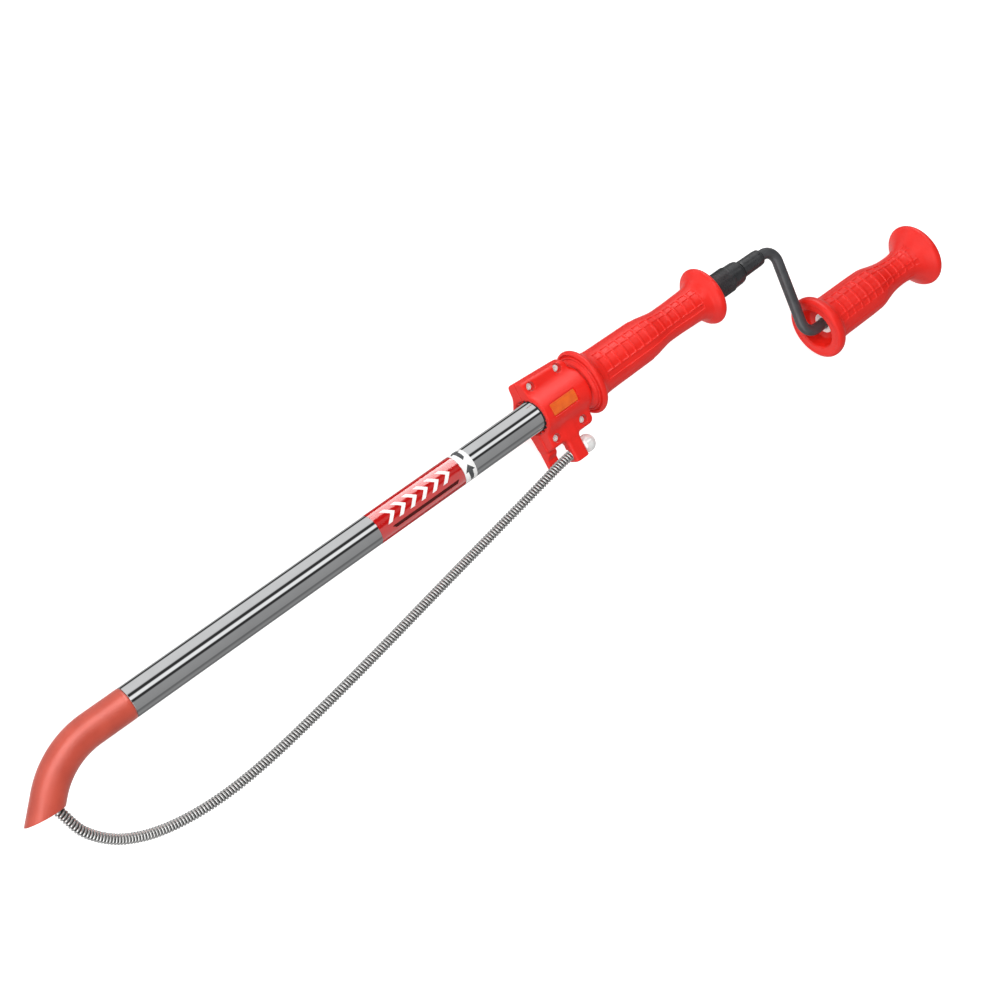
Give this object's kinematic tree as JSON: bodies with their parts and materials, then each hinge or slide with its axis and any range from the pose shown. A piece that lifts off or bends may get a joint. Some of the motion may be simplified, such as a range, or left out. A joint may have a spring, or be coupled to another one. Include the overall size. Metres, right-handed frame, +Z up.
{
  "type": "drain snake machine",
  "caption": "Hand-cranked telescoping toilet auger: chromed guide tube with vinyl-covered elbow, collar housing, foregrip, offset crank and a hooked-back wound steel cable.",
  "frame": {"origin": "under the middle of the tool as it lies on the floor, on the floor", "axes": "+X along the tool's axis from the bowl end to the crank, +Z up from the floor, -Y towards the elbow's leg, the cable loop and the crank grip"},
  "size_m": [1.1372, 0.1741, 0.0716],
  "materials": {
    "chrome": "polished chrome plate",
    "guard_vinyl": "soft satin vinyl",
    "label_red": "glossy printed film",
    "label_white": "glossy printed film",
    "red_plastic": "semi-gloss moulded plastic",
    "badge_orange": "semi-gloss plastic",
    "zinc_steel": "bright zinc plate",
    "cable_steel": "bright wound spring steel",
    "black_steel": "black oxide, satin",
    "nylon": "natural nylon"
  },
  "bodies": {
    "guide": {"guide_tube": "chrome", "elbow_tube": "zinc_steel", "bowl_guard": "guard_vinyl", "label_wrap": "label_red", "direction_band": "label_white", "housing_top": "red_plastic", "housing_bottom": "red_plastic", "housing_screw_1": "zinc_steel", "housing_screw_2": "zinc_steel", "housing_screw_3": "zinc_steel", "housing_screw_4": "zinc_steel", "badge_plate": "badge_orange", "tube_retaining_ring": "zinc_steel", "slide_bush": "nylon", "cable_in_elbow": "cable_steel", "cable_loop": "cable_steel", "cable_bulb": "zinc_steel"},
    "handle": {"inner_tube": "zinc_steel", "foregrip": "red_plastic", "cable_guide_bush": "nylon", "shaft_bearing_front": "nylon", "shaft_bearing_rear": "nylon"},
    "crank": {"cable_core": "cable_steel", "cable_ferrule": "zinc_steel", "drive_shaft": "zinc_steel", "thrust_washer": "nylon", "shaft_coupling": "black_steel", "coupling_pin": "zinc_steel", "crank_socket": "black_steel", "crank_rod": "black_steel", "grip_washer": "nylon", "rod_retainer": "zinc_steel"},
    "crank_grip": {"crank_grip": "red_plastic", "grip_bush_front": "nylon", "grip_bush_rear": "nylon", "grip_end_plug": "red_plastic"}
  },
  "joints": [
    {"name": "handle_slide", "type": "slide", "parent": "guide", "child": "handle", "axis": [1, 0, 0], "range_m": [0, 0.4]},
    {"name": "crank_spin", "type": "hinge", "parent": "handle", "child": "crank", "pos_m": [0.3058, 0.04765, 0.0358], "axis": [-1, 0, 0], "continuous": true},
    {"name": "crank_grip_spin", "type": "hinge", "parent": "crank", "child": "crank_grip", "pos_m": [0.3993, -0.05085, 0.0358], "axis": [1, 0, 0], "continuous": true}
  ]
}
